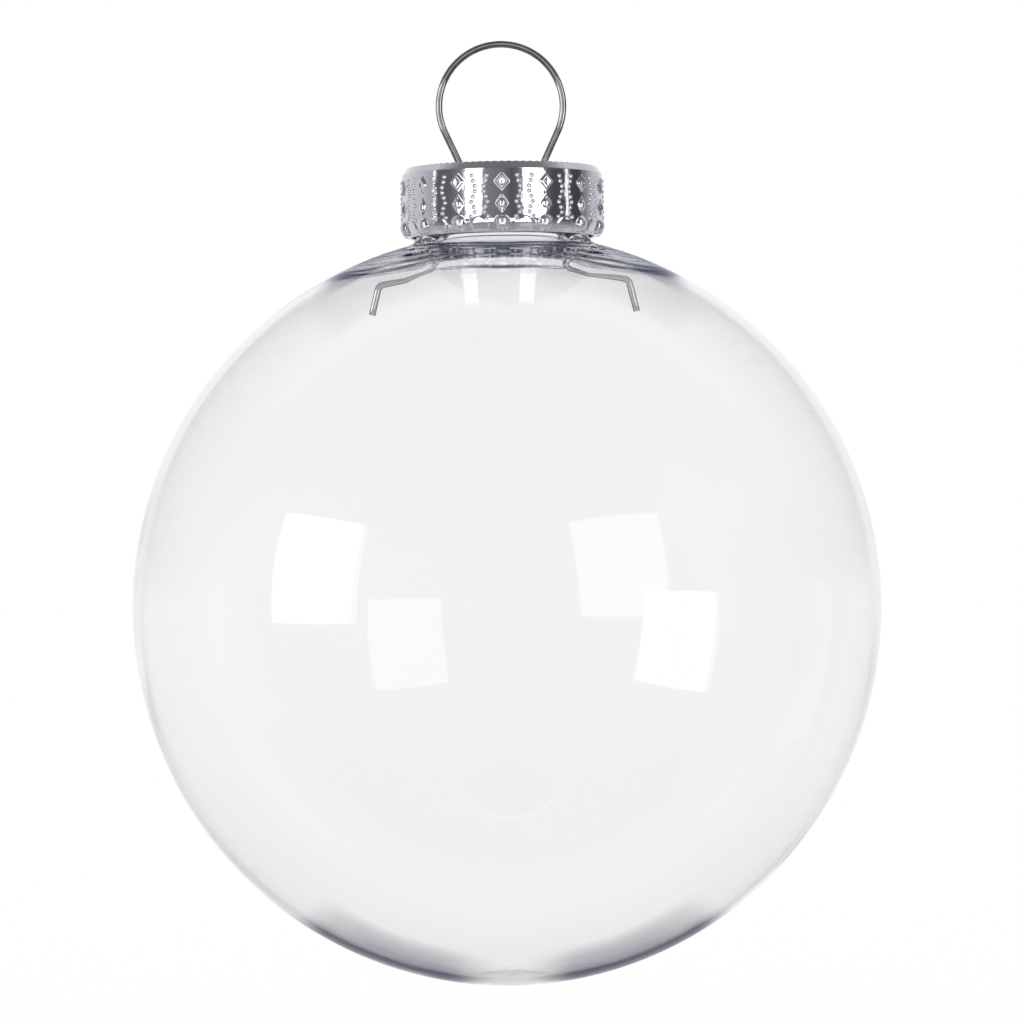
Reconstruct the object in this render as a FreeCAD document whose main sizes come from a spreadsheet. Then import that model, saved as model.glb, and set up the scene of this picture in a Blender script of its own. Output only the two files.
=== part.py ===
"""Glass ball ornament: a blown glass globe, an embossed crown cap and a spring-wire hanger.

Frame: the origin is the inside top of the hanging loop, +Z is up and the hanger lies in the XZ
plane, so the ornament hangs straight down along -Z. A "depth" is a distance below the origin.
"""
import FreeCAD, Part
import math
import os

import Sketcher

# name, value (mm, degrees or a count), what it is
SIZES = (
    ("globe_radius", 40.2, "outside of the glass ball"),
    ("globe_depth", 60.1, "centre of the glass ball"),
    ("glass_wall", 0.8, "wall of the ball"),
    ("neck_radius", 9.2, "outside of the neck"),
    ("neck_wall", 1.6, "wall of the neck"),
    ("neck_depth", 13.45, "rim of the neck, just under the cap's top"),
    ("neck_lip", 0.3, "fire-polished edges of the rim"),
    ("shoulder_blend", 1.5, "outside blend of neck and ball"),
    ("cap_depth", 13.05, "flat top of the cap"),
    ("cap_tall", 7.35, "height of the cap"),
    ("cap_radius", 10.75, "outside of the cap's wall"),
    ("cap_sheet", 0.3, "thickness of the sheet metal"),
    ("cap_rim", 0.85, "rounded top edge of the cap"),
    ("cap_curl", 1.8, "height of the skirt that rolls inwards"),
    ("cap_mouth", 10.05, "outside of the skirt at its lower edge"),
    ("sector_count", 14, "times that the pattern repeats around the cap"),
    ("dome_radius", 0.95, "embossed dome"),
    ("dome_reach", 11.05, "top of a dome, from the cap's axis"),
    ("dome_depth", 19.45, "centre of a dome"),
    ("diamond_rise", 0.28, "height of a diamond above the wall"),
    ("diamond_root", 0.25, "how far a diamond's base lies inside the wall"),
    ("diamond_slope", 30, "lean of a diamond's sides"),
    ("diamond_wide", 1.65, "width of a diamond at its base"),
    ("diamond_tall", 1.95, "height of a diamond at its base"),
    ("upper_diamond_depth", 15.15, "centre of the upper diamond"),
    ("lower_diamond_depth", 17.5, "centre of the lower diamond"),
    ("wire_size", 0.72, "diameter of the spring wire"),
    ("wire_hole", 1.5, "diameter of each hole in the cap"),
    ("loop_radius", 6.75, "centre line of the hanging loop"),
    ("hole_out", 4.5, "wire's bend in the cap's hole, from the axis"),
    ("hole_depth", 13.2, "wire's bend in the cap's hole"),
    ("press_out", 7.35, "bend that presses on the neck's bore"),
    ("press_depth", 21.4, "bend that presses on the neck's bore"),
    ("waist_out", 6.85, "bend below the neck"),
    ("waist_depth", 22.75, "bend below the neck"),
    ("arm_out", 9.0, "start of the spread arm"),
    ("arm_depth", 24.2, "start of the spread arm"),
    ("elbow_out", 13.6, "end of the spread arm"),
    ("elbow_depth", 25.05, "end of the spread arm"),
    ("tip_out", 14.2, "cut end of the leg"),
    ("tip_depth", 28.5, "cut end of the leg"),
    ("wide_bend", 1.2, "bend radius at the hole and at the arm"),
    ("tight_bend", 0.75, "bend radius at the neck and at the elbow"),
)


def new_sheet(doc):
    """The driving dimensions, one aliased cell each."""
    sheet = doc.addObject("Spreadsheet::Sheet", "Sizes")
    for row, (name, value, note) in enumerate(SIZES, start=1):
        sheet.set(f"A{row}", name)
        sheet.set(f"B{row}", str(value))
        sheet.set(f"C{row}", note)
        sheet.setAlias(f"B{row}", name)
    return sheet


def bind(feature, **expressions):
    """Bind properties to the sheet; a word of the sheet stands for its cell."""
    for prop, text in expressions.items():
        feature.setExpression(prop.replace("__", "."), in_sheet(text))


def in_sheet(text):
    """Write each name of a size in the expression as a cell of the sheet."""
    for name in sorted((entry[0] for entry in SIZES), key=len, reverse=True):
        text = text.replace(name, f"<{name}>")
    return text.replace("<", "Sizes.").replace(">", "")


def origin_feature(body, role):
    """One of the body's own origin planes or axes."""
    return next(item for item in body.Origin.OriginFeatures if item.Role == role)


def new_sketch(body, name, plane):
    sketch = body.newObject("Sketcher::SketchObject", name)
    sketch.AttachmentSupport = (origin_feature(body, plane), [""])
    sketch.MapMode = "FlatFace"
    return sketch


def dimension(sketch, constraint, expression):
    """Add a driving dimension to the sketch and bind it to the sheet."""
    index = sketch.addConstraint(constraint)
    sketch.setExpression(f"Constraints[{index}]", in_sheet(expression))


def place_point(sketch, geometry, point, across, down):
    """Dimension a point of the sketch from the origin: across along X and down along -Z."""
    vertex = sketch.getPoint(geometry, point)
    dimension(sketch, Sketcher.Constraint("DistanceX", -1, 1, geometry, point, vertex.x), across)
    dimension(sketch, Sketcher.Constraint("DistanceY", geometry, point, -1, 1, -vertex.y), down)


def line(sketch, start, end):
    return sketch.addGeometry(Part.LineSegment(start, end), False)


def arc(sketch, start, middle, end):
    return sketch.addGeometry(Part.Arc(start, middle, end), False)


def at(across, down):
    """A point of a sketch on the XZ plane."""
    return FreeCAD.Vector(across, -down, 0)


def finish_sketch(sketch):
    if sketch.solve() != 0:
        raise RuntimeError(f"{sketch.Name} does not solve")


def circle_edges(feature, radius, depth):
    """Names of the feature's circular edges of this radius about the Z axis, at this depth."""
    names = []
    for number, edge in enumerate(feature.Shape.Edges, start=1):
        if edge.Degenerated or not isinstance(edge.Curve, Part.Circle):
            continue
        if abs(edge.Curve.Radius - radius) < 0.02 and abs(edge.Curve.Center.z + depth) < 0.05:
            names.append(f"Edge{number}")
    if not names:
        raise RuntimeError(f"{feature.Name} has no edge of radius {radius} at depth {depth}")
    return names


def dress(body, name, base, edges, radius):
    """A fillet over the named edges of the feature before it."""
    fillet = body.newObject("PartDesign::Fillet", name)
    fillet.Base = (base, edges)
    bind(fillet, Radius=radius)
    body.Document.recompute()
    return fillet


def sphere_meets_bore(sphere, bore, centre_depth):
    """Depth of the circle where a sphere meets a bore on its axis."""
    return centre_depth - math.sqrt(sphere ** 2 - bore ** 2)


def make_globe(doc, sheet):
    """One blown bubble: the ball, with the neck drawn out of its top."""
    body = doc.addObject("PartDesign::Body", "glass_globe")
    ball = body.newObject("PartDesign::AdditiveSphere", "ball")
    bind(ball, Radius="globe_radius", Placement__Base__z="-globe_depth")
    neck = body.newObject("PartDesign::AdditiveCylinder", "neck")
    bind(neck, Radius="neck_radius", Height="globe_depth - neck_depth",
         Placement__Base__z="-globe_depth")
    doc.recompute()
    join = sphere_meets_bore(sheet.globe_radius, sheet.neck_radius, sheet.globe_depth)
    shoulder = dress(body, "shoulder", neck, circle_edges(neck, sheet.neck_radius, join),
                     "shoulder_blend")
    cavity = body.newObject("PartDesign::SubtractiveSphere", "cavity")
    bind(cavity, Radius="globe_radius - glass_wall", Placement__Base__z="-globe_depth")
    bore = body.newObject("PartDesign::SubtractiveCylinder", "bore")
    bind(bore, Radius="neck_radius - neck_wall", Height="globe_depth - neck_depth",
         Placement__Base__z="-globe_depth")
    doc.recompute()
    bore_radius = sheet.neck_radius - sheet.neck_wall
    inner_join = sphere_meets_bore(sheet.globe_radius - sheet.glass_wall, bore_radius,
                                   sheet.globe_depth)
    throat = dress(body, "throat", bore, circle_edges(bore, bore_radius, inner_join),
                   "shoulder_blend + neck_wall")
    rim = circle_edges(throat, bore_radius, sheet.neck_depth)
    rim += circle_edges(throat, sheet.neck_radius, sheet.neck_depth)
    dress(body, "lip", throat, rim, "neck_lip")
    if not shoulder.Shape.Volume > cavity.Shape.Volume > bore.Shape.Volume:
        raise RuntimeError("the globe was not hollowed")
    return body


def cap_outline(body, sheet):
    """Half of the cap's outside, to be turned about Z and shelled."""
    sketch = new_sketch(body, "cap_outline", "XZ_Plane")
    top, foot = sheet.cap_depth, sheet.cap_depth + sheet.cap_tall
    curl = foot - sheet.cap_curl
    side, rim, mouth = sheet.cap_radius, sheet.cap_rim, sheet.cap_mouth
    slant = rim * math.sqrt(0.5)
    sag = side - mouth
    curl_radius = (sheet.cap_curl ** 2 + sag ** 2) / (2 * sag)
    half_way = math.asin(sheet.cap_curl / curl_radius) / 2
    lid = line(sketch, at(0, top), at(side - rim, top))
    roll = arc(sketch, at(side - rim, top), at(side - rim + slant, top + rim - slant),
               at(side, top + rim))
    wall = line(sketch, at(side, top + rim), at(side, curl))
    skirt = arc(sketch, at(side, curl),
                at(side - curl_radius * (1 - math.cos(half_way)),
                   curl + curl_radius * math.sin(half_way)),
                at(mouth, foot))
    base = line(sketch, at(mouth, foot), at(0, foot))
    axis = line(sketch, at(0, foot), at(0, top))
    # an arc drawn clockwise is stored the other way round, so its ends are 2 then 1
    sketch.addConstraint([
        Sketcher.Constraint("Tangent", lid, 2, roll, 2),
        Sketcher.Constraint("Tangent", roll, 1, wall, 1),
        Sketcher.Constraint("Tangent", wall, 2, skirt, 2),
        Sketcher.Constraint("Coincident", skirt, 1, base, 1),
        Sketcher.Constraint("Coincident", base, 2, axis, 1),
        Sketcher.Constraint("Coincident", axis, 2, lid, 1),
        Sketcher.Constraint("Horizontal", lid),
        Sketcher.Constraint("Vertical", wall),
        Sketcher.Constraint("Horizontal", base),
        Sketcher.Constraint("PointOnObject", axis, 1, -2),
        Sketcher.Constraint("PointOnObject", axis, 2, -2),
    ])
    dimension(sketch, Sketcher.Constraint("Radius", roll, rim), "cap_rim")
    place_point(sketch, wall, 2, "cap_radius", "cap_depth + cap_tall - cap_curl")
    place_point(sketch, base, 1, "cap_mouth", "cap_depth + cap_tall")
    dimension(sketch, Sketcher.Constraint("DistanceY", lid, 1, -1, 1, top), "cap_depth")
    finish_sketch(sketch)
    return sketch


def diamond_outline(body, sheet):
    """The two diamonds of one sector, on a plane just inside the wall and facing -Y."""
    sketch = new_sketch(body, "diamond_outline", "XZ_Plane")
    bind(sketch, AttachmentOffset__Base__z="cap_radius - diamond_root")
    wide, tall = sheet.diamond_wide / 2, sheet.diamond_tall / 2
    for row in ("upper_diamond_depth", "lower_diamond_depth"):
        depth = getattr(sheet, row)
        corners = (at(wide, depth), at(0, depth - tall), at(-wide, depth), at(0, depth + tall))
        right, top, left, low = (line(sketch, corner, corners[(index + 1) % 4])
                                 for index, corner in enumerate(corners))
        sketch.addConstraint([
            Sketcher.Constraint("Coincident", right, 2, top, 1),
            Sketcher.Constraint("Coincident", top, 2, left, 1),
            Sketcher.Constraint("Coincident", left, 2, low, 1),
            Sketcher.Constraint("Coincident", low, 2, right, 1),
            Sketcher.Constraint("Symmetric", right, 1, left, 1, -2),
            Sketcher.Constraint("PointOnObject", top, 1, -2),
            Sketcher.Constraint("PointOnObject", low, 1, -2),
        ])
        place_point(sketch, right, 1, "diamond_wide / 2", row)
        dimension(sketch, Sketcher.Constraint("DistanceY", top, 1, -1, 1, depth - tall),
                  f"{row} - diamond_tall / 2")
        dimension(sketch, Sketcher.Constraint("DistanceY", low, 1, -1, 1, depth + tall),
                  f"{row} + diamond_tall / 2")
    finish_sketch(sketch)
    return sketch


def around(body, name, originals):
    """Repeat features once per sector about the Z axis."""
    pattern = body.newObject("PartDesign::PolarPattern", name)
    pattern.Originals = originals
    pattern.Axis = (origin_feature(body, "Z_Axis"), [""])
    pattern.Angle = 360
    bind(pattern, Occurrences="sector_count")
    body.Tip = pattern
    body.Document.recompute()
    return pattern


def dome(body, kind, name, radius):
    """A sphere set in the wall, on the -Y side of the cap."""
    ball = body.newObject(kind, name)
    bind(ball, Radius=radius, Placement__Base__y="dome_radius - dome_reach",
         Placement__Base__z="-dome_depth")
    return ball


def make_cap(doc, sheet):
    """A crown cap of thin sheet: flat top, embossed wall and a skirt that rolls inwards."""
    body = doc.addObject("PartDesign::Body", "crown_cap")
    cup = body.newObject("PartDesign::Revolution", "cup")
    cup.Profile = cap_outline(body, sheet)
    cup.ReferenceAxis = (origin_feature(body, "Z_Axis"), [""])
    cup.Angle = 360
    dome(body, "PartDesign::AdditiveSphere", "dome", "dome_radius")
    diamonds = body.newObject("PartDesign::Pad", "diamonds")
    diamonds.Profile = diamond_outline(body, sheet)
    bind(diamonds, Length="diamond_root + diamond_rise", TaperAngle="-diamond_slope")
    doc.recompute()
    embossed = around(body, "embossed", [doc.getObject("dome"), diamonds])

    hollow = body.newObject("PartDesign::SubtractiveCylinder", "hollow")
    bind(hollow, Radius="cap_mouth - cap_sheet", Height="cap_tall - cap_sheet",
         Placement__Base__z="-cap_depth - cap_tall")
    doc.recompute()
    body.Tip = hollow
    holes = new_sketch(body, "wire_holes", "XY_Plane")
    bind(holes, AttachmentOffset__Base__z="-cap_depth")
    for side in (1, -1):
        spot = holes.addGeometry(
            Part.Circle(FreeCAD.Vector(side * sheet.hole_out, 0, 0), FreeCAD.Vector(0, 0, 1),
                        sheet.wire_hole / 2), False)
        holes.addConstraint(Sketcher.Constraint("PointOnObject", spot, 3, -1))
        ends = (-1, 1, spot, 3) if side > 0 else (spot, 3, -1, 1)
        dimension(holes, Sketcher.Constraint("DistanceX", *ends, sheet.hole_out), "hole_out")
        dimension(holes, Sketcher.Constraint("Diameter", spot, sheet.wire_hole), "wire_hole")
    finish_sketch(holes)
    drilled = body.newObject("PartDesign::Pocket", "drilled")
    drilled.Profile = holes
    bind(drilled, Length="3 * cap_sheet")
    doc.recompute()
    if not embossed.Shape.Volume > hollow.Shape.Volume > drilled.Shape.Volume:
        raise RuntimeError("the cap was not hollowed or drilled")
    return body


def leg_path(body, sheet):
    """Half of the wire's centre line: from the top of the loop down one leg to its cut end."""
    sketch = new_sketch(body, "leg_path", "XZ_Plane")
    corners = [("hole", "wide_bend"), ("press", "tight_bend"), ("waist", "tight_bend"),
               ("arm", "wide_bend"), ("elbow", "tight_bend"), ("tip", None)]
    spots = [at(getattr(sheet, f"{name}_out"), getattr(sheet, f"{name}_depth"))
             for name, _ in corners]

    centre = at(0, sheet.loop_radius - sheet.wire_size / 2)
    to_hole = spots[0] - centre
    swing = math.atan2(to_hole.y, to_hole.x) + math.acos(sheet.loop_radius / to_hole.Length)
    touch = centre + FreeCAD.Vector(math.cos(swing), math.sin(swing), 0) * sheet.loop_radius
    loop = sketch.addGeometry(
        Part.ArcOfCircle(Part.Circle(centre, FreeCAD.Vector(0, 0, 1), sheet.loop_radius),
                         swing, math.pi / 2), False)
    sketch.addConstraint(Sketcher.Constraint("PointOnObject", loop, 2, -2))
    sketch.addConstraint(Sketcher.Constraint("PointOnObject", loop, 3, -2))
    dimension(sketch, Sketcher.Constraint("Radius", loop, sheet.loop_radius), "loop_radius")
    dimension(sketch, Sketcher.Constraint("DistanceY", -1, 1, loop, 2, sheet.wire_size / 2),
              "wire_size / 2")

    start, last, last_end = touch, loop, 1
    for index, (name, bend) in enumerate(corners):
        corner = spots[index]
        into = (corner - start).normalize()
        if bend is None:
            run = line(sketch, start, corner)
            sketch.addConstraint(Sketcher.Constraint("Tangent", last, last_end, run, 1))
            place_point(sketch, run, 2, f"{name}_out", f"{name}_depth")
            break
        away = (spots[index + 1] - corner).normalize()
        radius = getattr(sheet, bend)
        trim = radius * math.tan(into.getAngle(away) / 2)
        enter, leave = corner - into * trim, corner + away * trim
        bisector = (away - into).normalize()
        heart = corner + bisector * math.hypot(radius, trim)
        middle = heart - bisector * radius
        run = line(sketch, start, enter)
        turn = arc(sketch, enter, middle, leave)
        clockwise = into.x * away.y - into.y * away.x < 0
        first, second = (2, 1) if clockwise else (1, 2)
        mark = sketch.addGeometry(Part.Point(corner), True)
        sketch.addConstraint([
            Sketcher.Constraint("Tangent", last, last_end, run, 1),
            Sketcher.Constraint("Tangent", run, 2, turn, first),
            Sketcher.Constraint("PointOnObject", mark, 1, run),
        ])
        if index:
            sketch.addConstraint(Sketcher.Constraint("PointOnObject", previous_mark, 1, run))
        dimension(sketch, Sketcher.Constraint("Radius", turn, radius), bend)
        place_point(sketch, mark, 1, f"{name}_out", f"{name}_depth")
        previous_mark = mark
        start, last, last_end = leave, turn, second
    sketch.addConstraint(Sketcher.Constraint("PointOnObject", previous_mark, 1, run))
    finish_sketch(sketch)
    return sketch


def make_hanger(doc, sheet):
    """One piece of spring wire: half of it is swept from the loop's top and then mirrored."""
    body = doc.addObject("PartDesign::Body", "wire_hanger")
    path = leg_path(body, sheet)
    section = new_sketch(body, "wire_section", "YZ_Plane")
    disc = section.addGeometry(
        Part.Circle(FreeCAD.Vector(0, sheet.wire_size / 2, 0), FreeCAD.Vector(0, 0, 1),
                    sheet.wire_size / 2), False)
    section.addConstraint(Sketcher.Constraint("PointOnObject", disc, 3, -2))
    dimension(section, Sketcher.Constraint("DistanceY", -1, 1, disc, 3, sheet.wire_size / 2),
              "wire_size / 2")
    dimension(section, Sketcher.Constraint("Diameter", disc, sheet.wire_size), "wire_size")
    finish_sketch(section)
    doc.recompute()
    leg = body.newObject("PartDesign::AdditivePipe", "leg")
    leg.Profile = section
    leg.Spine = (path, [f"Edge{number + 1}" for number in range(len(path.Shape.Edges))])
    leg.Transition = "Round corner"
    doc.recompute()
    both = body.newObject("PartDesign::Mirrored", "both_legs")
    both.Originals = [leg]
    both.MirrorPlane = (origin_feature(body, "YZ_Plane"), [""])
    body.Tip = both
    doc.recompute()
    swept = 2 * path.Shape.Length * math.pi * (sheet.wire_size / 2) ** 2
    if abs(both.Shape.Volume / swept - 1) > 0.01:
        raise RuntimeError("the wire's volume is not its section times its length")
    return body


def check(doc, bodies):
    """Stop on any object that failed, and on any piece that is not one valid solid."""
    for item in doc.Objects:
        if {"Invalid", "Error"} & set(item.State):
            raise RuntimeError(f"{item.Name}: {item.State}")
    for body in bodies:
        if body.Shape.isNull() or not body.Shape.isValid() or len(body.Shape.Solids) != 1:
            raise RuntimeError(f"{body.Label} is not one valid solid")


def main():
    doc = FreeCAD.newDocument("glass_ball_ornament")
    sheet = new_sheet(doc)
    doc.recompute()
    bodies = [make(doc, sheet) for make in (make_globe, make_cap, make_hanger)]
    doc.recompute()
    check(doc, bodies)
    os.makedirs("parts", exist_ok=True)
    for body in bodies:
        body.Shape.exportStep(os.path.join("parts", f"{body.Label}.step"))
        print(f"{body.Label}: {body.Shape.Volume:.1f} mm3, {len(body.Shape.Faces)} faces")


main()
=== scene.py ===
"""Glass ball ornament: the looks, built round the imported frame.

Lengths in this script are millimetres in the frame of the CAD (origin inside the top of the
hanging loop, +Z up) until they are put into a mesh, which is in metres.
"""

import math

import bpy
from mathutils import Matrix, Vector, geometry, noise


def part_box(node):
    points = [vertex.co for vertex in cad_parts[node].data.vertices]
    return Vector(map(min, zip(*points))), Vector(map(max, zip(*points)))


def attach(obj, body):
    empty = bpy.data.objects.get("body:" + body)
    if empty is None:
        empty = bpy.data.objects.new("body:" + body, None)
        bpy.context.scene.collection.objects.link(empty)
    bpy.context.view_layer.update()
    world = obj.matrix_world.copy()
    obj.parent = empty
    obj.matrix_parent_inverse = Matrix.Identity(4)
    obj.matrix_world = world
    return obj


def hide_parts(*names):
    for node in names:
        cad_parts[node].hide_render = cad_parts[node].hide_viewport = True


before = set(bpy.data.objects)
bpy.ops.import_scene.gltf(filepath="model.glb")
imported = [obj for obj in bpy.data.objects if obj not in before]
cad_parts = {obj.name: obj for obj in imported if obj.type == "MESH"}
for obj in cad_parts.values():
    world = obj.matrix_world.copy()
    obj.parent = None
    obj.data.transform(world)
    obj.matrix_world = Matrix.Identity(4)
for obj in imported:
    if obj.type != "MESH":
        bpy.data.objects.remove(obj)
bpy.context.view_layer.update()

MM = 0.001
TAU = math.tau

# the ball and its neck
globe_low, globe_high = (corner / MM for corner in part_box("glass_globe"))
BALL_RADIUS = 40.05
BALL_DEPTH = 60.05             # of the ball's middle below the top of the loop
BALL_STRETCH = 1.01            # the lower half is a little longer than a true ball
GLASS_WALL = 0.7
NECK_RADIUS = 9.2
COLLAR_RADIUS = 19.15          # the wall thickens from here up to the neck
COLLAR_OVAL = 0.95             # how much further out that is at the front than the mean
COLLAR_SLOPE = 0.012           # thickening per length of surface at the front and back
COLLAR_SIDE_SLOPE = 0.1        # what the two sides have on top of that
NECK_TOP = globe_high.z
SHOULDER_BLEND = 1.5           # radius of the blend between neck and ball
BLEND_OUT = NECK_RADIUS + SHOULDER_BLEND
BLEND_RISE = math.sqrt((BALL_RADIUS + SHOULDER_BLEND) ** 2 - BLEND_OUT ** 2)
BLEND_MEET = math.atan2(BLEND_RISE, BLEND_OUT)         # latitude where it meets the ball
FOOT_SWELL = 0.5               # thick drop of glass left at the very bottom
FOOT_SPREAD = 2.6
RIPPLE_DEPTH = 0.045           # unevenness of the blown surface
RIPPLE_SCALE = 0.07            # ripples per millimetre round the ball
RIPPLE_STRETCH = 0.7           # how much slower they change along the axis
RIPPLE_FADE = 9.5, 16.0        # the radii between which they set in
INSIDE_SEED = 37.0             # the inside ripples otherwise than the outside
GLOBE_COLUMNS, GLOBE_ROWS = 256, 120
BLEND_ROWS, NECK_ROWS, LIP_ROWS = 14, 10, 10

# the cap
cap_low, cap_high = (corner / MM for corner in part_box("crown_cap"))
CAP_TOP = cap_high.z
CAP_FOOT = cap_low.z
CAP_RADIUS = 10.75
CAP_SHEET = 0.3                # thickness of the sheet
CAP_BEVEL = 0.6                # width of the sloping band round the top
CAP_BEVEL_FACES = 36           # degrees above level that the band faces
CAP_CREASE = 0.15              # bend radius along both edges of the band
CAP_CURL = 1.8                 # height of the skirt that rolls inwards
CAP_MOUTH = 10.05              # outside radius at the foot of the skirt
CURL_SAG = CAP_RADIUS - CAP_MOUTH
CURL_RADIUS = (CAP_CURL ** 2 + CURL_SAG ** 2) / (2 * CURL_SAG)
SECTORS = 14                   # repeats of the stamped pattern
SECTOR_ANGLE = TAU / SECTORS
HALF_SECTOR = SECTOR_ANGLE * CAP_RADIUS / 2
COLUMNS_PER_SECTOR = 54
PLATE_RADIUS = 7.6             # flat middle of the top
PLATE_WAVE = 0.10              # height of the shallow waves round it
HOLE_RADIUS = 0.75
HOLE_OUT = 4.3                 # distance of both holes from the axis
HOLE_STEPS = 32
PLATE_ROWS, CREASE_ROWS, BEVEL_ROWS = 7, 5, 4
WALL_ROWS, CURL_ROWS, EDGE_ROWS, INSIDE_ROWS = 49, 24, 5, 14

# what is stamped into the cap's wall: the height of the middle, half width and half height
UPPER_DIAMOND = -15.2, 0.84, 0.98
LOWER_DIAMOND = -17.5, 0.66, 0.98
BOSS = -17.5, 0.42, 0.46
# and how far it stands out
UPPER_PRESS, UPPER_PIT = 0.26, 0.10
LOWER_PRESS = 0.13
BOSS_PRESS = 0.24
ARCH_PRESS = 0.12
KNURL_DEPTH = 0.06
KNURL_TICKS = 6                # in every sector
ARCH_TOP, ARCH_DROP = -18.75, 0.55
ARCH_HALF_WIDTH = 0.95
DOME_SIZE, DOME_OUT, DOME_HEIGHT = 0.88, 10.3, -19.42
BEAD_SIZE, BEAD_SINK = 0.25, 0.06
BEAD_AROUND, BEAD_RINGS = 14, 5
# rows of beads: depth, and distance from the line between two sectors
BEAD_ROWS = ((14.55, 0.78), (15.1, 0.66), (15.65, 0.46), (16.2, 0.48), (16.75, 0.68),
             (17.3, 0.86), (17.85, 0.60), (18.4, 0.50), (18.85, 0.92))

# relief, which the silver's polish and its painted shade follow: 0 in the hollows, 1 on what stands
# proud
RELIEF_LEVEL = 0.35
RELIEF_GAIN = 1.6              # per millimetre pressed out
# low relief of the sheet's inside and cut edge, which darkens the silver there as painted shade
RELIEF_HIDDEN = 0.2
RELIEF_BEAD = 0.9

# the wire
WIRE_RADIUS = 0.36
WIRE_AROUND = 20
WIRE_END = 0.86                # share of the wire's radius that the cut ends keep
LOOP_RADIUS = 6.66
LOOP_STEPS, BEND_STEPS = 72, 12
LEG_TOP = -21.0                # the legs' painted highlight and painted shade start here
PAINTED_SHADE_HALF_WIDTH = 0.28             # half width of the painted shade along the legs' flanks

# the studio
CAMERA_PLACE = 0.65, -440, -49.9
CAMERA_ROLL = 0.7              # degrees
FLOOR_REACH, FLOOR_CLEAR = 3000.0, 30.0
SOFTBOX_DISTANCE = 1.2         # metres from the middle of the ball
BOUNCES = 64                   # fewer leave a dark line round the ball, where light is caught

# greys of the tent by direction: the horizon's by degrees from the camera (behind the ornament at
# both ends), the others from 0 towards the camera to 1 away from it
HORIZON = ((-180, 0.98), (-158, 0.84), (-128, 0.72), (-100, 0.58), (-86, 0.40), (-79, 0.12),
           (-62, 0.14), (-46, 0.26), (-20, 0.25), (0, 0.19), (12, 0.10), (24, 0.18),
           (44, 0.22), (60, 0.08), (100, 0.06), (114, 0.34), (128, 0.60), (158, 0.80),
           (180, 0.98))
OUTER_ROOM = ((0.0, (0.14, 0.14, 0.15)), (0.5, (0.24, 0.24, 0.25)), (0.64, (0.42, 0.42, 0.42)),
              (0.81, (0.66, 0.66, 0.66)), (0.94, (0.78, 0.78, 0.78)), (0.99, (0.95, 0.95, 0.95)))
INNER_ROOM = ((0.0, (0.28, 0.28, 0.28)), (0.25, (0.36, 0.36, 0.36)), (0.5, (0.49, 0.49, 0.49)),
              (0.64, (0.57, 0.57, 0.57)), (0.81, (0.68, 0.68, 0.68)), (0.94, (0.82, 0.82, 0.82)),
              (0.99, (0.98, 0.98, 0.98)))
ROOF = ((0.35, (0.17, 0.17, 0.17)), (0.50, (0.24, 0.24, 0.24)), (0.66, (0.68, 0.68, 0.68)))
ROOF_START, ROOF_FULL = 0.35, 0.75
# what light finds that was reflected twice inside the glass, when it leaves up or level, or down
CAUGHT_UP = 0.90, 0.90, 0.90
CAUGHT_DOWN = 0.08, 0.09, 0.15
UPPER_GAP = 0.09, 0.09, 0.15
LOWER_GAP = 0.12, 0.12, 0.16
# the tent's opening in the roof, as x / z and y / z: its middle and half widths; two lamps in it
HOLE_MIDDLE, HOLE_HALF = (0.03, 0.85), (0.22, 0.57)
HOLE_GREY = 0.27, 0.27, 0.28
LAMPS = (-0.125, -0.083), (0.053, 0.098)
LAMP_LIGHT = 1.4, 1.4, 1.45


# ---------------------------------------------------------------- helpers

def ramp(value, start, end):
    """0 at start, 1 at end, smooth in between; start may be above end."""
    t = min(max((value - start) / (end - start), 0.0), 1.0)
    return t * t * (3 - 2 * t)


def mesh_object(name, points, faces, smooth=True):
    """A mesh object from points in millimetres."""
    mesh = bpy.data.meshes.new(name)
    mesh.from_pydata([Vector(point) * MM for point in points], [], faces)
    mesh.validate()
    mesh.polygons.foreach_set("use_smooth", [smooth] * len(mesh.polygons))
    obj = bpy.data.objects.new(name, mesh)
    bpy.context.scene.collection.objects.link(obj)
    return obj


def around_axis(radius, angle, height):
    """A point about the Z axis; angle 0 faces the front, -Y."""
    return (radius * math.sin(angle), -radius * math.cos(angle), height)


# ---------------------------------------------------------------- node materials

def new_material(name):
    material = bpy.data.materials.new(name)
    material.use_nodes = True
    nodes = material.node_tree.nodes
    return material, nodes, material.node_tree.links, nodes["Principled BSDF"]


def noise_node(nodes, links, scale, detail, stretch=(1, 1, 1)):
    """Noise over the object's own coordinates, in features per metre."""
    place = nodes.new("ShaderNodeTexCoord")
    mapping = nodes.new("ShaderNodeMapping")
    mapping.inputs["Scale"].default_value = stretch
    texture = nodes.new("ShaderNodeTexNoise")
    texture.inputs["Scale"].default_value = scale
    texture.inputs["Detail"].default_value = detail
    texture.inputs["Roughness"].default_value = 0.55
    links.new(place.outputs["Object"], mapping.inputs["Vector"])
    links.new(mapping.outputs["Vector"], texture.inputs["Vector"])
    return texture


def bump_node(nodes, links, height, strength, distance, normal=None):
    """Bump of this strength; its distance is in metres. normal is a bump that lies under it."""
    bump = nodes.new("ShaderNodeBump")
    bump.inputs["Strength"].default_value = strength
    bump.inputs["Distance"].default_value = distance
    links.new(height, bump.inputs["Height"])
    if normal is not None:
        links.new(normal, bump.inputs["Normal"])
    return bump.outputs["Normal"]


def ramp_node(nodes, links, factor, *stops):
    """A colour ramp with stops of (position, (r, g, b))."""
    node = nodes.new("ShaderNodeValToRGB")
    elements = node.color_ramp.elements
    while len(elements) < len(stops):
        elements.new(0.5)
    for element, (position, colour) in zip(elements, stops):
        element.position = position
        element.color = (*colour, 1)
    links.new(factor, node.inputs["Fac"])
    return node.outputs["Color"]


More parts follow.
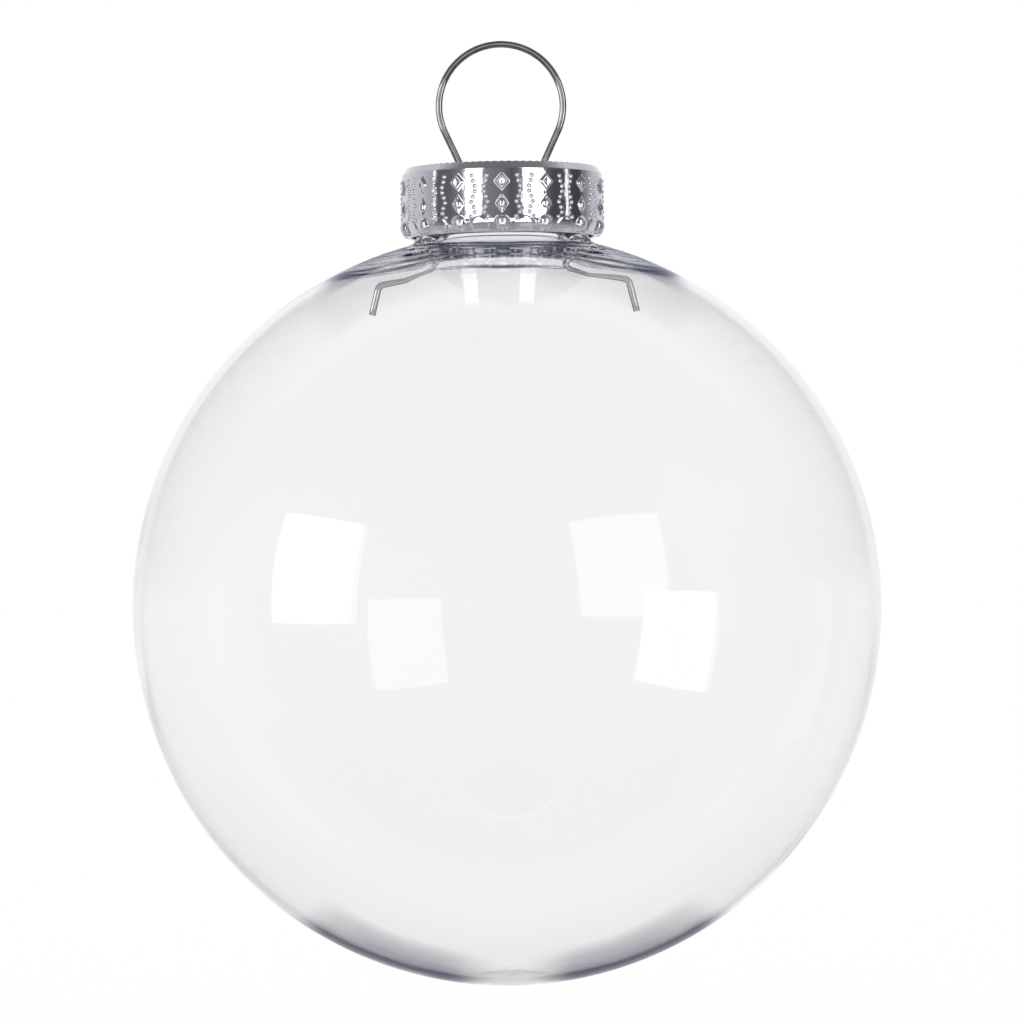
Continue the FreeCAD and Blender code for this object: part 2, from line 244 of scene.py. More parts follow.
def range_node(nodes, links, value, low, high, smooth=False):
    """Maps a 0 to 1 value onto low to high."""
    node = nodes.new("ShaderNodeMapRange")
    node.inputs["To Min"].default_value = low
    node.inputs["To Max"].default_value = high
    if smooth:
        node.interpolation_type = "SMOOTHSTEP"
    links.new(value, node.inputs["Value"])
    return node.outputs["Result"]


def math_node(nodes, links, operation, *values):
    """One operation on sockets and plain numbers."""
    node = nodes.new("ShaderNodeMath")
    node.operation = operation
    for socket, value in zip(node.inputs, values):
        if isinstance(value, (int, float)):
            socket.default_value = value
        else:
            links.new(value, socket)
    return node.outputs["Value"]


def band(nodes, links, value, low, high, soft, soft_above=None):
    """1 between low and high, fading to 0 over soft below them and soft_above above them."""
    rise = nodes.new("ShaderNodeMapRange")
    fall = nodes.new("ShaderNodeMapRange")
    for node, start, end in ((rise, low - soft, low), (fall, high + (soft_above or soft), high)):
        node.interpolation_type = "SMOOTHSTEP"
        node.inputs["From Min"].default_value = start
        node.inputs["From Max"].default_value = end
        links.new(value, node.inputs["Value"])
    return math_node(nodes, links, "MULTIPLY", rise.outputs["Result"], fall.outputs["Result"])


def divide(nodes, links, value, by, least):
    """value / by, with by kept over least."""
    return math_node(nodes, links, "DIVIDE", value, math_node(nodes, links, "MAXIMUM", by, least))


def mix_colours(nodes, links, factor, first, second):
    """first where the factor is 0, second where it is 1; either is a socket or a colour."""
    node = nodes.new("ShaderNodeMix")
    node.data_type = "RGBA"
    links.new(factor, node.inputs["Factor"])
    for socket, colour in ((node.inputs["A"], first), (node.inputs["B"], second)):
        if isinstance(colour, tuple):
            socket.default_value = (*colour, 1)
        else:
            links.new(colour, socket)
    return node.outputs["Result"]


def glass_material():
    """Clear soda-lime glass with the faint ripple of a blown bubble."""
    material, nodes, links, shader = new_material("clear_blown_glass")
    shader.inputs["Base Color"].default_value = (1.0, 1.0, 1.0, 1)
    shader.inputs["Transmission Weight"].default_value = 1.0
    shader.inputs["Roughness"].default_value = 0.0
    shader.inputs["IOR"].default_value = 1.5
    ripple = noise_node(nodes, links, 90, detail=2.0, stretch=(1, 1, 0.35))
    links.new(bump_node(nodes, links, ripple.outputs["Fac"], strength=0.12, distance=0.00012),
              shader.inputs["Normal"])
    return material


def silver_material():
    """Bright silver plate on stamped sheet: a slightly wavy face, cloudy polish, fine scratches,
    painted shade in the hollows and a duller polish on the domes and beads, which are touched most."""
    material, nodes, links, shader = new_material("silver_plate")
    cloud = noise_node(nodes, links, 420, detail=5.0)
    scratch = noise_node(nodes, links, 900, detail=3.0, stretch=(1, 1, 9))
    relief = nodes.new("ShaderNodeAttribute")
    relief.attribute_name = "relief"
    # painted shade: the base colour darkens from what stands proud into the hollows and on the
    # inside
    colour = ramp_node(nodes, links, relief.outputs["Fac"],
                       (0.0, (0.60, 0.60, 0.64)), (0.45, (0.80, 0.80, 0.85)),
                       (1.0, (0.90, 0.90, 0.91)))
    links.new(colour, shader.inputs["Base Color"])
    shader.inputs["Metallic"].default_value = 1.0
    worn = range_node(nodes, links, relief.outputs["Fac"], low=0.0, high=0.26, smooth=True)
    worn.node.inputs["From Min"].default_value = 0.78
    links.new(math_node(nodes, links, "ADD", worn,
                        range_node(nodes, links, cloud.outputs["Fac"], low=0.04, high=0.13)),
              shader.inputs["Roughness"])
    fine = bump_node(nodes, links, scratch.outputs["Fac"], strength=0.10, distance=0.00002)
    links.new(bump_node(nodes, links, cloud.outputs["Fac"], strength=0.8, distance=0.00006,
                        normal=fine),
              shader.inputs["Normal"])
    return material


def wire_material():
    """Bright drawn steel wire: lengthwise die lines and small cloudy patches. The legs carry a
    painted highlight along the front and back and painted shade along their flanks."""
    material, nodes, links, shader = new_material("drawn_wire")
    lines = noise_node(nodes, links, 5200, detail=2.0, stretch=(1, 1, 0.06))
    patches = noise_node(nodes, links, 600, detail=4.0)
    colour = ramp_node(nodes, links, patches.outputs["Fac"],
                       (0.25, (0.27, 0.26, 0.26)), (0.7, (0.44, 0.43, 0.43)))
    place = nodes.new("ShaderNodeSeparateXYZ")
    links.new(nodes.new("ShaderNodeTexCoord").outputs["Object"], place.inputs["Vector"])
    off_plane = math_node(nodes, links, "ABSOLUTE", place.outputs["Y"])
    # painted highlight in the base colour on the legs' front and back, painted shade on their
    # flanks
    painted_highlight_band = band(nodes, links, off_plane, low=PAINTED_SHADE_HALF_WIDTH * MM, high=1.0, soft=0.07 * MM)
    leg_painted_light_colour = mix_colours(nodes, links, painted_highlight_band, (0.03, 0.03, 0.04), (0.95, 0.95, 0.96))
    on_leg = band(nodes, links, place.outputs["Z"], low=-1.0, high=LEG_TOP * MM, soft=1.0 * MM)
    colour = mix_colours(nodes, links, on_leg, colour, leg_painted_light_colour)
    links.new(colour, shader.inputs["Base Color"])
    shader.inputs["Metallic"].default_value = 1.0
    shader.inputs["Specular Tint"].default_value = (0.12, 0.12, 0.13, 1)
    links.new(range_node(nodes, links, patches.outputs["Fac"], low=0.05, high=0.14),
              shader.inputs["Roughness"])
    links.new(bump_node(nodes, links, lines.outputs["Fac"], strength=0.2, distance=0.00001),
              shader.inputs["Normal"])
    return material


# ---------------------------------------------------------------- the glass

def glass_skin(wall, neck_wall):
    """Half outline of a skin lying wall under the glass's outside, from the foot to the lip.

    wall gives the thickness at a latitude; 0 everywhere gives the outside."""
    centre_height = BLEND_RISE - BALL_DEPTH
    points = []
    for row in range(GLOBE_ROWS + 1):
        latitude = -TAU / 4 + (BLEND_MEET + TAU / 4) * row / GLOBE_ROWS
        radius = BALL_RADIUS - wall(latitude)
        height = radius * math.sin(latitude)
        stretch = BALL_STRETCH if height < 0 else 1.0
        points.append((radius * math.cos(latitude), height * stretch - BALL_DEPTH))
    thick = wall(BLEND_MEET)
    for row in range(1, BLEND_ROWS + 1):
        angle = TAU / 2 + BLEND_MEET * (1 - row / BLEND_ROWS)
        reach = SHOULDER_BLEND + thick
        points.append((BLEND_OUT + reach * math.cos(angle),
                       centre_height + reach * math.sin(angle)))
    top = NECK_TOP - neck_wall / 2
    for row in range(1, NECK_ROWS + 1):
        points.append((NECK_RADIUS - thick,
                       centre_height + (top - centre_height) * row / NECK_ROWS))
    return points


def glass_section(angle):
    """Half outline of the glass at this angle: its outside, lip and inside.

    The edge where the wall starts to thicken is an oval that wavers a little."""
    edge = COLLAR_RADIUS + COLLAR_OVAL * math.cos(2 * angle)
    edge += 0.12 * math.sin(5 * angle + 1) + 0.07 * math.sin(11 * angle + 4)
    collar_start = math.acos(edge / BALL_RADIUS)
    slope = COLLAR_SLOPE + COLLAR_SIDE_SLOPE * abs(math.sin(angle)) ** 3

    def wall(latitude):
        foot = math.exp(-((latitude + TAU / 4) * BALL_RADIUS / FOOT_SPREAD) ** 2)
        collar = max(0.0, latitude - collar_start) * BALL_RADIUS * slope
        return GLASS_WALL + collar + FOOT_SWELL * foot

    neck_wall = wall(BLEND_MEET)
    outside = glass_skin(lambda latitude: 0.0, neck_wall)
    inside = glass_skin(wall, neck_wall)
    lip_radius = neck_wall / 2
    lip = [(NECK_RADIUS - lip_radius + lip_radius * math.cos(turn),
            NECK_TOP - lip_radius + lip_radius * math.sin(turn))
           for turn in (TAU / 2 * step / LIP_ROWS for step in range(1, LIP_ROWS))]
    return outside, lip, inside


def make_globe():
    """One closed skin: outside up to the fire-polished lip, and the inside back down."""
    columns = GLOBE_COLUMNS
    sections = [glass_section(TAU * column / columns) for column in range(columns)]
    outside, _, inside = sections[0]
    outlines = [over[1:] + lip + under[:0:-1] for over, lip, under in sections]
    depth = len(outlines[0])
    points, faces = [], []
    for index in range(depth):
        seed = 0.0 if index < len(outside) else INSIDE_SEED
        for column in range(columns):
            radius, height = outlines[column][index]
            x, y, z = around_axis(radius, TAU * column / columns, height)
            ripple = noise.noise(Vector((x, y, z * RIPPLE_STRETCH + seed)) * RIPPLE_SCALE)
            swell = 1 + RIPPLE_DEPTH * ripple * ramp(radius, *RIPPLE_FADE) / BALL_RADIUS
            points.append((x * swell, y * swell, z))
    for row in range(depth - 1):
        for column in range(columns):
            after = (column + 1) % columns
            faces.append((row * columns + column, row * columns + after,
                          (row + 1) * columns + after, (row + 1) * columns + column))
    for pole, ring, flip in ((outside[0], 0, True), (inside[0], depth - 1, False)):
        centre = len(points)
        points.append((0, 0, pole[1]))
        for column in range(columns):
            pair = (ring * columns + column, ring * columns + (column + 1) % columns)
            faces.append((centre, *(pair[::-1] if flip else pair)))
    globe = mesh_object("globe_glass", points, faces)
    globe.data.materials.append(glass_material())
    return globe


# ---------------------------------------------------------------- the cap

def across_sector(angle):
    """Arc length from the middle of the sector that this angle is in."""
    return ((angle / SECTOR_ANGLE + 0.5) % 1.0 - 0.5) * SECTOR_ANGLE * CAP_RADIUS


def diamond(across, height, middle, wide, tall):
    """1 in the middle of a diamond, 0 on and outside its edge."""
    return max(0.0, 1 - abs(across) / wide - abs(height - middle) / tall)


def emboss(angle, height):
    """How far the cap's wall is pressed out at this place."""
    across = across_sector(angle)
    beside = HALF_SECTOR - abs(across)
    upper = diamond(across, height, *UPPER_DIAMOND)
    lower = diamond(across, height, *LOWER_DIAMOND)
    push = UPPER_PRESS * ramp(upper, 0.0, 0.34) - UPPER_PIT * ramp(upper, 0.42, 0.95)
    push += LOWER_PRESS * ramp(lower, 0.0, 0.16)
    middle, wide, tall = BOSS
    boss = 1 - (across / wide) ** 2 - ((height - middle) / tall) ** 2
    push += BOSS_PRESS * math.sqrt(max(0.0, boss))
    arch_top = ARCH_TOP - ARCH_DROP * (beside / ARCH_HALF_WIDTH) ** 2
    arch = ramp(beside, 1.02, 0.86) * ramp(height, arch_top, arch_top - 0.16)
    push += ARCH_PRESS * arch * ramp(height, CAP_FOOT + 0.1, CAP_FOOT + 0.3)
    return push


def dome_out(angle, height, wall_radius):
    """Radius of the row of domes low on the wall, or the wall's own radius beside them."""
    across = across_sector(angle)
    spread = DOME_SIZE ** 2 - across ** 2 - (height - DOME_HEIGHT) ** 2
    if spread <= 0:
        return wall_radius
    return max(wall_radius, DOME_OUT + math.sqrt(spread))


def wave(angle, ticks):
    """0 to 1 and back, ticks times in every sector."""
    return 0.5 + 0.5 * math.cos(angle * SECTORS * ticks)


def crease(centre_radius, centre_height, start, end):
    """Rows of a rounded bend of the sheet, about this centre of its section."""
    for step in range(CREASE_ROWS + 1):
        turn = start + (end - start) * step / CREASE_ROWS
        out, up = math.cos(turn), math.sin(turn)
        yield centre_radius + CAP_CREASE * out, centre_height + CAP_CREASE * up, out, up, "roll"


def cap_outline():
    """Rows of the cap's section from the flat of the top, over the wall and back up inside.

    Each is (radius, height, outward radius, outward height, kind)."""
    shoulder = CAP_RADIUS - CAP_BEVEL
    rows = [(PLATE_RADIUS + (shoulder - PLATE_RADIUS) * step / PLATE_ROWS, CAP_TOP, 0, 1, "plate")
            for step in range(PLATE_ROWS)]
    faces_up = math.radians(CAP_BEVEL_FACES)
    run = (CAP_BEVEL - CAP_CREASE) / math.sin(faces_up)
    wall_top, wall_low = CAP_TOP - CAP_CREASE - run * math.cos(faces_up), CAP_FOOT + CAP_CURL
    out, up = math.cos(faces_up), math.sin(faces_up)
    rows += crease(shoulder, CAP_TOP - CAP_CREASE, TAU / 4, faces_up)
    for step in range(1, BEVEL_ROWS):
        rows.append((shoulder + CAP_CREASE * out + run * up * step / BEVEL_ROWS,
                     CAP_TOP - CAP_CREASE + CAP_CREASE * up - run * out * step / BEVEL_ROWS,
                     out, up, "roll"))
    rows += crease(CAP_RADIUS - CAP_CREASE, wall_top, faces_up, 0)
    for step in range(1, WALL_ROWS + 1):
        rows.append((CAP_RADIUS, wall_top + (wall_low - wall_top) * step / WALL_ROWS,
                     1, 0, "wall"))
    sweep = math.asin(CAP_CURL / CURL_RADIUS)
    curl = []
    for step in range(1, CURL_ROWS + 1):
        turn = sweep * step / CURL_ROWS
        curl.append((CAP_RADIUS - CURL_RADIUS * (1 - math.cos(turn)),
                     wall_low - CURL_RADIUS * math.sin(turn), math.cos(turn), -math.sin(turn)))
    rows += [(*entry, "wall") for entry in curl]
    edge_radius, edge_height, out, down = curl[-1]
    half = CAP_SHEET / 2
    for step in range(1, EDGE_ROWS):
        turn = math.atan2(down, out) - TAU / 2 * step / EDGE_ROWS
        rows.append((edge_radius - half * out + half * math.cos(turn),
                     edge_height - half * down + half * math.sin(turn), 0, 0, "edge"))
    for radius, height, out, down in curl[::-2]:
        rows.append((radius - CAP_SHEET * out, height - CAP_SHEET * down, 1, 0, "inside"))
    inner, inner_top = CAP_RADIUS - CAP_SHEET, wall_top - 0.1
    for step in range(INSIDE_ROWS + 1):
        rows.append((inner, wall_low + (inner_top - wall_low) * step / INSIDE_ROWS,
                     1, 0, "inside"))
    for radius in (shoulder - 0.05, (shoulder + PLATE_RADIUS) / 2, PLATE_RADIUS):
        rows.append((radius, CAP_TOP - CAP_SHEET, 0, 0, "plain"))
    return rows


def plate_with_holes(points, faces, ring, height, flip):
    """Fills the ring of the flat top round the wire's two holes; returns the holes' rims."""
    columns, steps = len(ring), HOLE_STEPS
    flat = [Vector(points[index][:2]) for index in ring]
    loops = [list(range(columns))]
    for side in (-1, 1):
        first = len(flat)
        flat += [Vector((side * HOLE_OUT + HOLE_RADIUS * math.cos(TAU * step / steps),
                         HOLE_RADIUS * math.sin(TAU * step / steps))) for step in range(steps)]
        loops.append(list(range(first, first + steps)))
    edges = [(loop[step], loop[(step + 1) % len(loop)]) for loop in loops
             for step in range(len(loop))]
    _, _, triangles, _, _, _ = geometry.delaunay_2d_cdt(flat, edges, [], 0, 1e-6)
    hole_start = len(points)
    points += [(*spot, height) for spot in flat[columns:]]
    number = list(ring) + list(range(hole_start, len(points)))
    for triangle in triangles:
        middle = sum((flat[corner] for corner in triangle), Vector((0, 0))) / 3
        if min((middle - Vector((side * HOLE_OUT, 0))).length for side in (-1, 1)) < HOLE_RADIUS:
            continue
        corners = [number[corner] for corner in triangle]
        faces.append(tuple(corners[::-1] if flip else corners))
    return [[number[index] for index in loop] for loop in loops[1:]]


def make_cap():
    """The stamped sheet: flat top, rolled edge, embossed wall and in-turned skirt, in one skin."""
    columns = SECTORS * COLUMNS_PER_SECTOR
    rows = cap_outline()
    points, relief, faces = [], [], []
    for radius, height, out, up, kind in rows:
        for column in range(columns):
            angle = TAU * column / columns
            r, z, push = radius, height, 0.0
            if kind == "roll":
                push = KNURL_DEPTH * wave(angle, KNURL_TICKS) \
                    * max(0.0, 1 - abs(out - 0.35) / 0.35)
            elif kind == "wall":
                push = emboss(angle, height)
                r = dome_out(angle, height, radius)
            elif kind == "plate":
                push = PLATE_WAVE * wave(angle, 1) \
                    * ramp(radius, 7.7, 8.4) * ramp(radius, 9.8, 9.2)
            elif kind == "inside":
                push = emboss(angle, height) * 0.8
                r = max(radius, dome_out(angle, height, radius + CAP_SHEET) - CAP_SHEET)
            raised = push + (r - radius)
            points.append(around_axis(r + push * out, angle, z + push * up))
            relief.append(RELIEF_LEVEL + raised * RELIEF_GAIN
                          if kind in ("wall", "roll", "plate") else RELIEF_HIDDEN)
    for row in range(len(rows) - 1):
        for column in range(columns):
            after = (column + 1) % columns
            faces.append((row * columns + column, (row + 1) * columns + column,
                          (row + 1) * columns + after, row * columns + after))
    top_rims = plate_with_holes(points, faces, range(columns), CAP_TOP, False)
    last = (len(rows) - 1) * columns
    low_rims = plate_with_holes(points, faces, range(last, last + columns),
                                CAP_TOP - CAP_SHEET, True)
    for top, low in zip(top_rims, low_rims):
        for step in range(len(top)):
            after = (step + 1) % len(top)
            faces.append((top[step], top[after], low[after], low[step]))
    relief += [RELIEF_LEVEL] * (len(points) - len(relief))
    cap = mesh_object("cap_shell", points, faces)
    store_relief(cap, relief)
    return cap


def store_relief(obj, values):
    attribute = obj.data.attributes.new("relief", "FLOAT", "POINT")
    attribute.data.foreach_set("value", [min(max(value, 0.0), 1.0) for value in values])


def bead_spots():
    """Places of the tiny beads: two bowed rows between every pair of sectors."""
    for sector in range(SECTORS):
        middle = (sector + 0.5) * SECTOR_ANGLE
        for depth, beside in BEAD_ROWS:
            for side in (-1, 1):
                yield middle + side * beside / CAP_RADIUS, -depth


def make_beads():
    """Every bead is a closed half ball that stands on the cap's wall."""
    around, up = BEAD_AROUND, BEAD_RINGS
    points, faces = [], []
    for angle, height in bead_spots():
        out = Vector((math.sin(angle), -math.cos(angle), 0))
        side = Vector((math.cos(angle), math.sin(angle), 0))
        wall = wall_radius_at(height) + emboss(angle, height) - BEAD_SINK
        centre = out * wall + Vector((0, 0, height))
        start = len(points)
        for ring in range(up):
            tilt = TAU / 4 * ring / up
            for step in range(around):
                turn = TAU * step / around
                flat = side * math.cos(turn) + Vector((0, 0, math.sin(turn)))
                points.append(centre + flat * BEAD_SIZE * math.cos(tilt)
                              + out * BEAD_SIZE * math.sin(tilt))
        points.append(centre + out * BEAD_SIZE)
        for ring in range(up - 1):
            for step in range(around):
                after = (step + 1) % around
                low, high = start + ring * around, start + (ring + 1) * around
                faces.append((low + step, low + after, high + after, high + step))
        top = start + (up - 1) * around
        for step in range(around):
            faces.append((top + step, top + (step + 1) % around, start + up * around))
        faces.append(tuple(start + step for step in reversed(range(around))))
    beads = mesh_object("cap_beads", points, faces)
    store_relief(beads, [RELIEF_BEAD] * len(points))
    return beads


def wall_radius_at(height):
    """Outside radius of the cap's plain wall or curled skirt."""
    drop = CAP_FOOT + CAP_CURL - height
    if drop <= 0:
        return CAP_RADIUS
    return CAP_RADIUS - CURL_RADIUS + math.sqrt(CURL_RADIUS ** 2 - drop ** 2)


# ---------------------------------------------------------------- the wire

def leg_corners(side):
    """Corners of one leg below the loop as (out, depth, bend radius); the two differ a little."""
    if side > 0:
        return ((4.15, 13.2, 1.2), (7.2, 21.4, 0.8), (6.7, 22.7, 0.7), (9.2, 24.1, 1.2),
                (13.5, 24.9, 0.8), (14.3, 28.4, 0.0))
    return ((4.15, 13.2, 1.2), (7.15, 21.4, 0.9), (7.9, 23.1, 0.8), (10.5, 24.8, 1.0),
            (13.4, 25.3, 0.8), (14.1, 28.5, 0.0))


def leg_points(side):
    """Centre line of one leg, from the top of the loop to the cut end, with round bends."""
    corners = leg_corners(side)
    centre = Vector((0, WIRE_RADIUS - LOOP_RADIUS))
    to_hole = Vector((corners[0][0], -corners[0][1])) - centre
    touch = math.atan2(to_hole.y, to_hole.x) + math.acos(LOOP_RADIUS / to_hole.length)
    points = []
    for step in range(LOOP_STEPS + 1):
        turn = TAU / 4 + (touch - TAU / 4) * step / LOOP_STEPS
        points.append(centre + LOOP_RADIUS * Vector((math.cos(turn), math.sin(turn))))
    spots = [Vector((out, -depth)) for out, depth, _ in corners]
    for index, (_, _, bend) in enumerate(corners[:-1]):
        corner = spots[index]
        before = points[-1]
        into = (corner - before).normalized()
        away = (spots[index + 1] - corner).normalized()
        trim = bend * math.tan(into.angle(away) / 2)
        enter, leave = corner - into * trim, corner + away * trim
        straight(points, before, enter)
        heart = corner + (away - into).normalized() * math.hypot(bend, trim)
        arm = enter - heart
        swing = arm.angle_signed(leave - heart)
        for step in range(1, BEND_STEPS + 1):
            turn = -swing * step / BEND_STEPS
            points.append(heart + Vector((arm.x * math.cos(turn) - arm.y * math.sin(turn),
                                          arm.x * math.sin(turn) + arm.y * math.cos(turn))))
    straight(points, points[-1], spots[-1])
    return [Vector((side * point.x, 0, point.y)) for point in points]


def straight(points, start, end):
    """Adds points along a run, about one wire's diameter apart."""
    count = max(1, round((end - start).length / (2 * WIRE_RADIUS)))
    for step in range(1, count + 1):
        points.append(start.lerp(end, step / count))


def make_wire():
    """A round wire of flat cut ends, swept in the plane of the loop."""
    path = leg_points(-1)[::-1] + leg_points(1)[1:]
    last, around = len(path) - 1, WIRE_AROUND
    across = Vector((0, 1, 0))
    points, faces = [], []
    for index, spot in enumerate(path):
        along = (path[min(index + 1, last)] - path[max(index - 1, 0)]).normalized()
        out = along.cross(across)
        onwards = -1 if index == 0 else 1
        for scale in {0: (WIRE_END, 1.0), last: (1.0, WIRE_END)}.get(index, (1.0,)):
            shift = (1 - scale) * WIRE_RADIUS * onwards
            for step in range(around):
                turn = TAU * step / around
                ring = out * math.cos(turn) + across * math.sin(turn)
                points.append(spot + ring * WIRE_RADIUS * scale + along * shift)
    rings = len(points) // around
    for ring in range(rings - 1):
        for step in range(around):
            after = (step + 1) % around
            faces.append((ring * around + step, ring * around + after,
                          (ring + 1) * around + after, (ring + 1) * around + step))
    faces.append(tuple(reversed(range(around))))
    faces.append(tuple(range((rings - 1) * around, rings * around)))
    wire = mesh_object("hanger_wire", points, faces)
    for face in wire.data.polygons[-2:]:
        face.use_smooth = False
    wire.data.materials.append(wire_material())
    return wire


# ---------------------------------------------------------------- the studio

def make_camera():
    """Level with the middle of the ornament and a little to its right, as in the reference."""
    camera = bpy.data.objects.new("camera", bpy.data.cameras.new("camera"))
    bpy.context.scene.collection.objects.link(camera)
    camera.data.sensor_width = 36
    camera.data.lens = 144
    camera.data.clip_start, camera.data.clip_end = 0.01, 20
    camera.location = Vector(CAMERA_PLACE) * MM
    camera.rotation_euler = (math.radians(90), math.radians(CAMERA_ROLL), 0)
    bpy.context.scene.camera = camera


def softbox(name, azimuth, elevation, width, height, radiance, pieces):
    """A rectangular light facing the ball, which lights only the pieces given.

    azimuth is from the front, positive to the right; width and height are in metres."""
    light = bpy.data.lights.new(name, "AREA")
    light.shape = "RECTANGLE"
    light.size, light.size_y = width, height
    light.energy = radiance * width * height * math.pi
    lamp = bpy.data.objects.new(name, light)
    bpy.context.scene.collection.objects.link(lamp)
    a, e = math.radians(azimuth), math.radians(elevation)
    away = Vector((math.sin(a) * math.cos(e), -math.cos(a) * math.cos(e), math.sin(e)))
    lamp.location = Vector((0, 0, -BALL_DEPTH * MM)) + away * SOFTBOX_DISTANCE
    lamp.rotation_euler = away.to_track_quat("Z", "Y").to_euler()
    lamp.visible_camera = False
    lit = bpy.data.collections.new(name + "_lights")
    for piece in pieces:
        lit.objects.link(piece)
    lamp.light_linking.receiver_collection = lit


def horizon(nodes, links, x, y):
    """What stands round the ornament at its own height, from behind it on the left to behind it
    on the right: a pale backdrop at both ends and a darker room beside the camera."""
    turn = math_node(nodes, links, "ARCTAN2", x, math_node(nodes, links, "MULTIPLY", y, -1))
    place = math_node(nodes, links, "MULTIPLY_ADD", turn, 1 / TAU, 0.5)
    return ramp_node(nodes, links, place,
                     *((angle / 360 + 0.5, (grey, grey * 0.99, grey * 1.04))
                       for angle, grey in HORIZON))


def tent_top(nodes, links, room, x, y, z):
    """The tent's roof behind the ornament: an oval opening, and two lamps seen through it."""
    over_x = divide(nodes, links, x, z, 0.05)
    over_y = divide(nodes, links, y, z, 0.05)
    squares = [math_node(nodes, links, "POWER",
                         math_node(nodes, links, "MULTIPLY_ADD", over, 1 / half, -middle / half), 2)
               for over, middle, half in zip((over_x, over_y), HOLE_MIDDLE, HOLE_HALF)]
    off = math_node(nodes, links, "ADD", *squares)
    room = mix_colours(nodes, links, band(nodes, links, off, -1, 0.95, 0.1), room, HOLE_GREY)
    along = band(nodes, links, over_y, 0.32, 0.90, 0.02)
    for start, end in LAMPS:
        strip = math_node(nodes, links, "MULTIPLY", along,
                          band(nodes, links, over_x, start, end, 0.004))
        room = mix_colours(nodes, links, strip, room, LAMP_LIGHT)
    return room


def tent_gaps(nodes, links, room, x, y, z):
    """Two dark openings in the tent behind the ornament, one above its middle and one below."""
    beside = math_node(nodes, links, "ABSOLUTE", math_node(nodes, links, "DIVIDE", x, z))
    above = divide(nodes, links, z, y, 0.05)
    below = math_node(nodes, links, "MULTIPLY", above, -1)
    gap = math_node(nodes, links, "MULTIPLY",
                    band(nodes, links, beside, 0.24, 0.44, 0.14, 0.22),
                    band(nodes, links, above, 0.30, 0.60, 0.50, 0.08))
    room = mix_colours(nodes, links, gap, room, UPPER_GAP)
    gap = math_node(nodes, links, "MULTIPLY",
                    band(nodes, links, beside, 0.17, 0.54, 0.15),
                    band(nodes, links, below, 0.50, 0.95, 0.70, 0.40))
    return mix_colours(nodes, links, gap, room, LOWER_GAP)


def make_world():
    """A white room to look at; what shines back from it is the inside of a light tent."""
    world = bpy.data.worlds.new("studio")
    bpy.context.scene.world = world
    world.use_nodes = True
    nodes, links = world.node_tree.nodes, world.node_tree.links
    background = nodes["Background"]
    direction = nodes.new("ShaderNodeTexCoord")
    parts = nodes.new("ShaderNodeSeparateXYZ")
    links.new(direction.outputs["Generated"], parts.inputs["Vector"])
    x, y, z = parts.outputs
    forward = range_node(nodes, links, y, 0.0, 1.0)
    forward.node.inputs["From Min"].default_value = -1.0
    path = nodes.new("ShaderNodeLightPath")

    def beyond(depth, count):
        return math_node(nodes, links, "GREATER_THAN", path.outputs[depth], count)

    inside = beyond("Transmission Depth", 0.5)
    room = mix_colours(nodes, links, band(nodes, links, z, -0.15, 0.15, 0.35),
                       ramp_node(nodes, links, forward, *OUTER_ROOM),
                       horizon(nodes, links, x, y))
    room = mix_colours(nodes, links, inside, room,
                       ramp_node(nodes, links, forward, *INNER_ROOM))
    caught = math_node(nodes, links, "MULTIPLY", inside, beyond("Glossy Depth", 1.5))
    darkness = mix_colours(nodes, links, band(nodes, links, z, -2.0, -0.15, 0.15),
                           CAUGHT_UP, CAUGHT_DOWN)
    room = mix_colours(nodes, links, caught, room, darkness)
    roof = range_node(nodes, links, z, 0.0, 1.0, smooth=True)
    roof.node.inputs["From Min"].default_value = ROOF_START
    roof.node.inputs["From Max"].default_value = ROOF_FULL
    room = mix_colours(nodes, links, roof, room, ramp_node(nodes, links, forward, *ROOF))
    room = tent_gaps(nodes, links, room, x, y, z)
    roofed = mix_colours(nodes, links, beyond("Transmission Depth", 2.5),
                         tent_top(nodes, links, room, x, y, z), room)
    seen = mix_colours(nodes, links, beyond("Glossy Depth", 0.5), (1, 1, 1), roofed)
    links.new(seen, background.inputs["Color"])


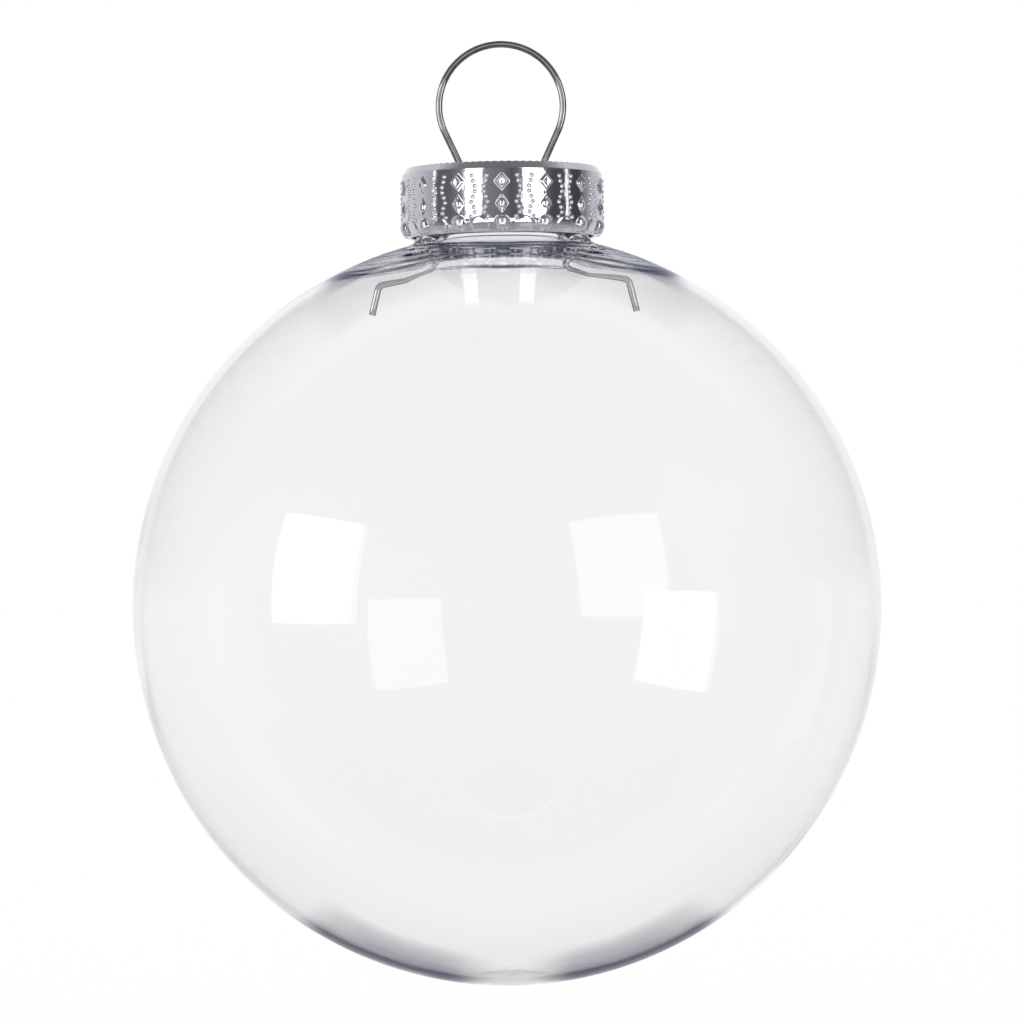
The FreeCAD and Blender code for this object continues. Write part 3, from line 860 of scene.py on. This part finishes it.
def make_floor():
    """A pale table a little below the hanging ball; shiny surfaces look through it to the room."""
    level = globe_low.z - FLOOR_CLEAR
    corners = [(x * FLOOR_REACH, y * FLOOR_REACH, level)
               for x, y in ((-1, -1), (1, -1), (1, 1), (-1, 1))]
    floor = mesh_object("floor", corners, [(0, 1, 2, 3)], smooth=False)
    material = bpy.data.materials.new("pale_table")
    material.use_nodes = True
    nodes, links = material.node_tree.nodes, material.node_tree.links
    shader = nodes["Principled BSDF"]
    shader.inputs["Base Color"].default_value = (0.9, 0.9, 0.9, 1)
    shader.inputs["Roughness"].default_value = 0.9
    shader.inputs["Specular IOR Level"].default_value = 0.0
    shader.inputs["Emission Color"].default_value = (1, 1, 1, 1)
    shader.inputs["Emission Strength"].default_value = 0.1
    path = nodes.new("ShaderNodeLightPath")
    through = nodes.new("ShaderNodeBsdfTransparent")
    mix = nodes.new("ShaderNodeMixShader")
    links.new(math_node(nodes, links, "GREATER_THAN", path.outputs["Glossy Depth"], 0.5),
              mix.inputs["Fac"])
    links.new(shader.outputs["BSDF"], mix.inputs[1])
    links.new(through.outputs["BSDF"], mix.inputs[2])
    links.new(mix.outputs["Shader"], nodes["Material Output"].inputs["Surface"])
    floor.data.materials.append(material)


# ---------------------------------------------------------------- the scene

make_camera()

globe = make_globe()
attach(globe, "globe")
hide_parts("glass_globe")

cap = make_cap()
beads = make_beads()
silver = silver_material()
for piece in (cap, beads):
    piece.data.materials.append(silver)
    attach(piece, "cap")
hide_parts("crown_cap")

wire = make_wire()
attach(wire, "hanger")
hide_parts("wire_hanger")

make_world()
make_floor()
silvered = [cap, beads]
# azimuth, elevation, width, height, radiance and the pieces lit
softbox("softbox_left", -60, 10.5, 0.60, 0.58, 1.6, [globe])
softbox("softbox_right", 35, 12, 0.58, 0.60, 1.0, [globe])
softbox("softbox_cap_left", -33, 12, 0.44, 1.10, 1.8, silvered)
softbox("softbox_cap_right", 36, 12, 0.54, 1.10, 1.8, silvered)
softbox("table_under_cap", 0, -52, 1.90, 1.80, 1.8, silvered)
softbox("strip_cap_left", -84, 4, 0.05, 0.60, 1.8, silvered)
softbox("strip_cap_right", 80, 4, 0.09, 0.60, 1.6, silvered)
softbox("softbox_wire_left", -62, 8, 1.00, 0.80, 2.2, [wire])
softbox("softbox_wire_front", -8, 8, 0.90, 0.80, 0.7, [wire])
softbox("softbox_wire_right", 54, 8, 0.70, 0.80, 2.2, [wire])
bpy.context.scene.view_settings.view_transform = "Standard"
bpy.context.scene.cycles.max_bounces = BOUNCES
bpy.context.scene.cycles.glossy_bounces = BOUNCES
bpy.context.scene.cycles.transmission_bounces = BOUNCES
